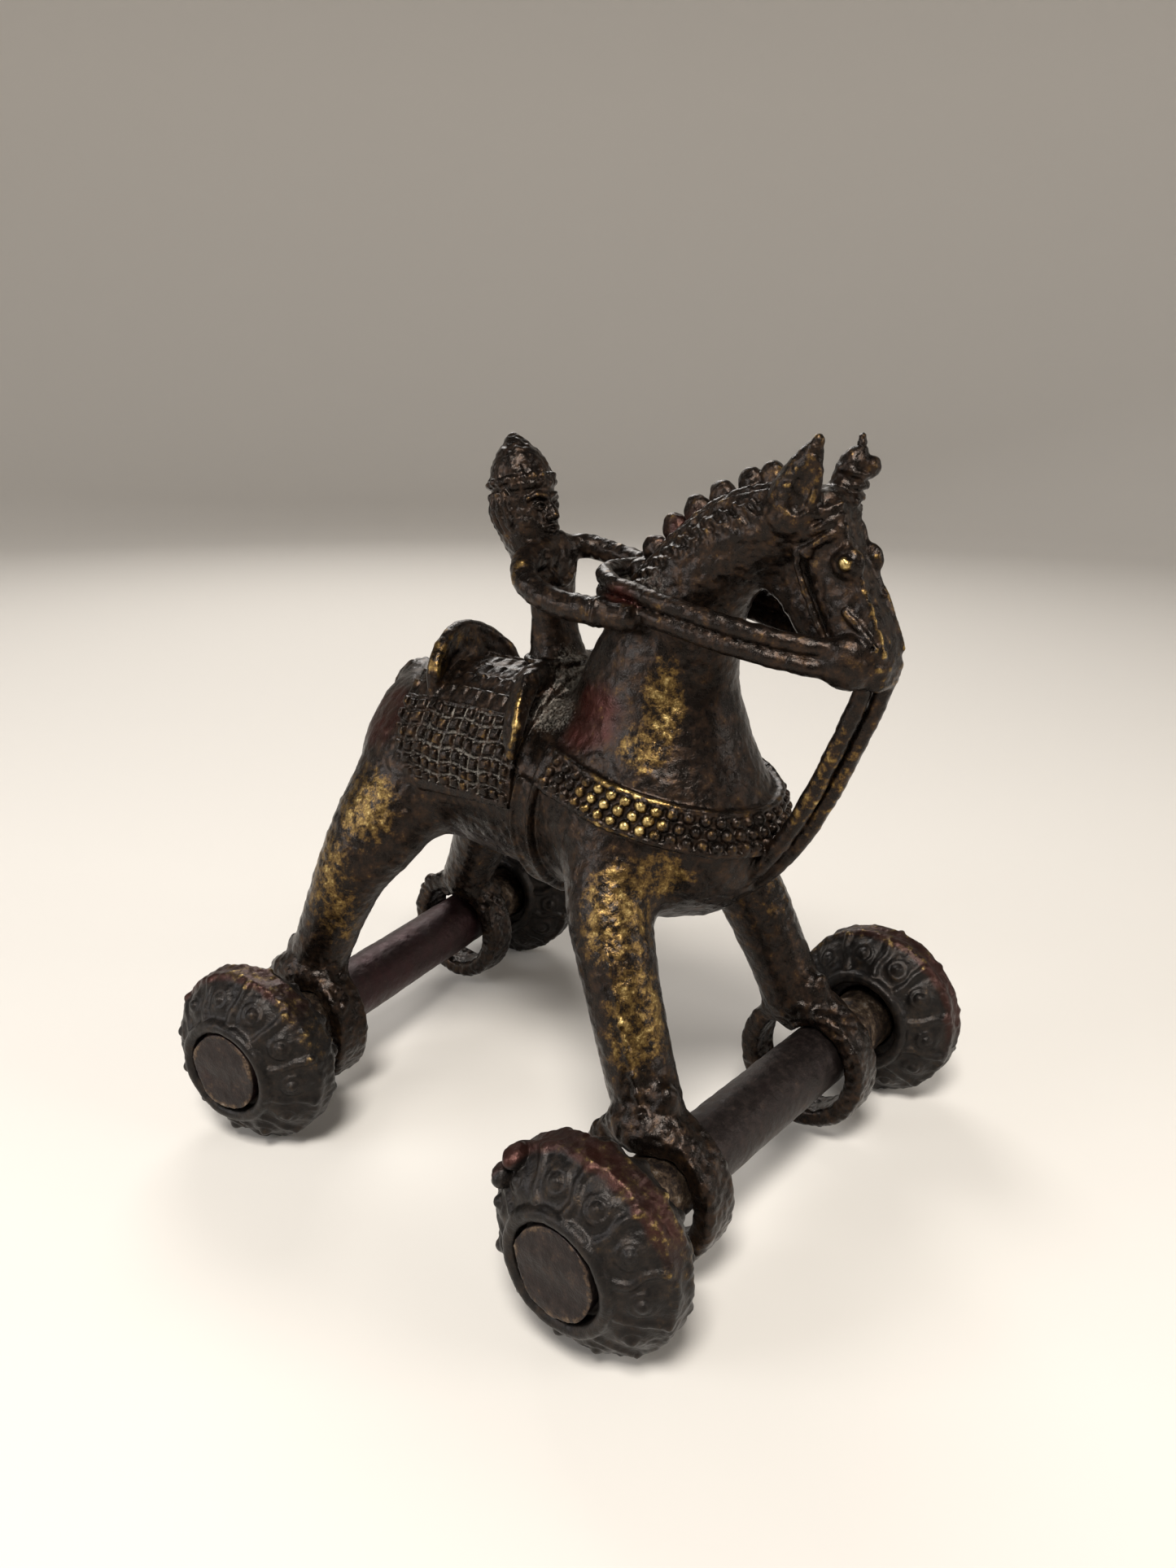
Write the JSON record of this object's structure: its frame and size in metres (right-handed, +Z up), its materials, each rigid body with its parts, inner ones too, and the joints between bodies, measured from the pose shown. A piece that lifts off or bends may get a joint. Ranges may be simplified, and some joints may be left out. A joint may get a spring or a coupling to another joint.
{
  "type": "bronze horse on wheels",
  "caption": "Lost-wax cast bronze toy horse with harness and seated rider, standing on loose iron axles with four petalled wheels that roll.",
  "frame": {"origin": "on the floor under the middle of the overall box", "axes": "+Z up, the horse faces -Y, +X is the horse's left"},
  "size_m": [0.1104, 0.133, 0.1288],
  "materials": {
    "patinated_bronze": "dark brown patina, satin, brass showing where handled, grey dust in recesses",
    "worn_bronze": "rubbed bronze, satin",
    "wheel_bronze": "dark patina, worn rim, semi-matt",
    "forged_iron": "purplish brown oxide, matt"
  },
  "bodies": {
    "horse": {"trunk": "patinated_bronze", "neck": "patinated_bronze", "head": "patinated_bronze", "throat_web": "patinated_bronze", "mane_crest": "patinated_bronze", "right_ear": "patinated_bronze", "left_ear": "patinated_bronze", "tail": "patinated_bronze", "right_rein_joint": "patinated_bronze", "left_rein_joint": "patinated_bronze", "right_rein": "patinated_bronze", "left_rein": "patinated_bronze", "rein_loop": "patinated_bronze", "lead_strap": "patinated_bronze", "front_right_leg": "patinated_bronze", "front_left_leg": "patinated_bronze", "rear_right_leg": "patinated_bronze", "rear_left_leg": "patinated_bronze", "front_right_eyelet": "patinated_bronze", "front_left_eyelet": "patinated_bronze", "rear_right_eyelet": "patinated_bronze", "rear_left_eyelet": "patinated_bronze", "girth": "patinated_bronze", "rider_body": "patinated_bronze", "saddle_cloth": "patinated_bronze", "saddle_cantle": "patinated_bronze", "rider_head": "patinated_bronze", "rider_cap": "patinated_bronze", "rider_right_arm": "patinated_bronze", "rider_left_arm": "patinated_bronze", "right_eye": "worn_bronze", "left_eye": "worn_bronze", "breast_collar": "worn_bronze", "rider_right_leg": "worn_bronze", "rider_left_leg": "worn_bronze"},
    "front_axle": {"front_axle": "forged_iron"},
    "rear_axle": {"rear_axle": "forged_iron"},
    "front_right_wheel": {"front_right_wheel": "wheel_bronze"},
    "front_left_wheel": {"front_left_wheel": "wheel_bronze"},
    "rear_right_wheel": {"rear_right_wheel": "wheel_bronze"},
    "rear_left_wheel": {"rear_left_wheel": "wheel_bronze"}
  },
  "joints": [
    {"name": "front_axle_turn", "type": "hinge", "parent": "horse", "child": "front_axle", "pos_m": [0, -0.0485, 0.017], "axis": [1, 0, 0], "continuous": true},
    {"name": "rear_axle_turn", "type": "hinge", "parent": "horse", "child": "rear_axle", "pos_m": [0, 0.0407, 0.017], "axis": [0.982, 0.1889, 0], "continuous": true},
    {"name": "front_right_wheel_spin", "type": "hinge", "parent": "front_axle", "child": "front_right_wheel", "pos_m": [-0.0455, -0.0485, 0.017], "axis": [1, 0, 0], "continuous": true},
    {"name": "front_left_wheel_spin", "type": "hinge", "parent": "front_axle", "child": "front_left_wheel", "pos_m": [0.0455, -0.0485, 0.017], "axis": [1, 0, 0], "continuous": true},
    {"name": "rear_right_wheel_spin", "type": "hinge", "parent": "rear_axle", "child": "rear_right_wheel", "pos_m": [-0.04468, 0.03211, 0.017], "axis": [0.982, 0.1889, 0], "continuous": true},
    {"name": "rear_left_wheel_spin", "type": "hinge", "parent": "rear_axle", "child": "rear_left_wheel", "pos_m": [0.04468, 0.04929, 0.017], "axis": [0.982, 0.1889, 0], "continuous": true}
  ]
}
